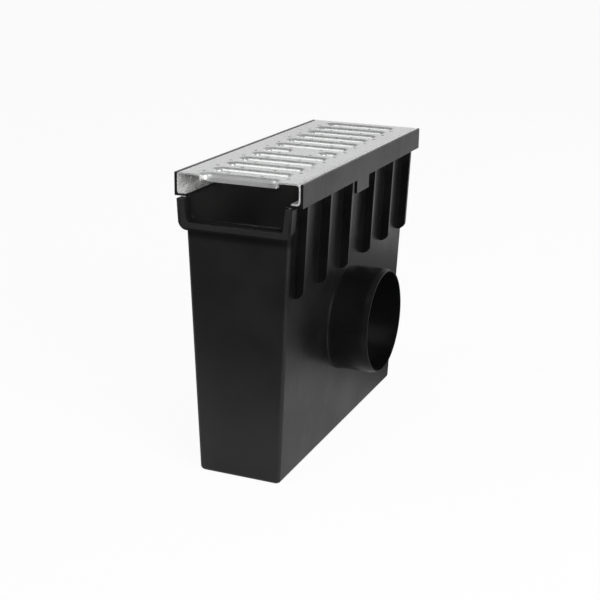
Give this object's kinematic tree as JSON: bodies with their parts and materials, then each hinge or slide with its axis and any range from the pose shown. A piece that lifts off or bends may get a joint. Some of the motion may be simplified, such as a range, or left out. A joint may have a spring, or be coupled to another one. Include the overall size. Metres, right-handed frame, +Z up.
{
  "type": "drain gully",
  "caption": "Moulded sump box for a line drain, with a pressed slotted grating, a round side outlet for a drain pipe, open channel ends and a lift-out silt bucket.",
  "frame": {"origin": "centre of the base, on the ground", "axes": "+X out of the outlet, +Y along the channel towards the tongue end, +Z up"},
  "size_m": [0.1548, 0.3485, 0.3],
  "materials": {
    "moulded_plastic": "semi-gloss black moulded polypropylene",
    "galvanised_sheet": "dull spangled galvanised steel sheet",
    "bucket_plastic": "matt black moulded polypropylene"
  },
  "bodies": {
    "sump": {"sump_body": "moulded_plastic", "slotted_grating": "galvanised_sheet", "silt_bucket": "bucket_plastic"},
    "bail": {"bucket_bail": "bucket_plastic"}
  },
  "joints": [
    {"name": "bail_swing", "type": "hinge", "parent": "sump", "child": "bail", "pos_m": [0, 0, 0.0688], "axis": [-1, 0, 0], "range_deg": [0, 180]}
  ]
}
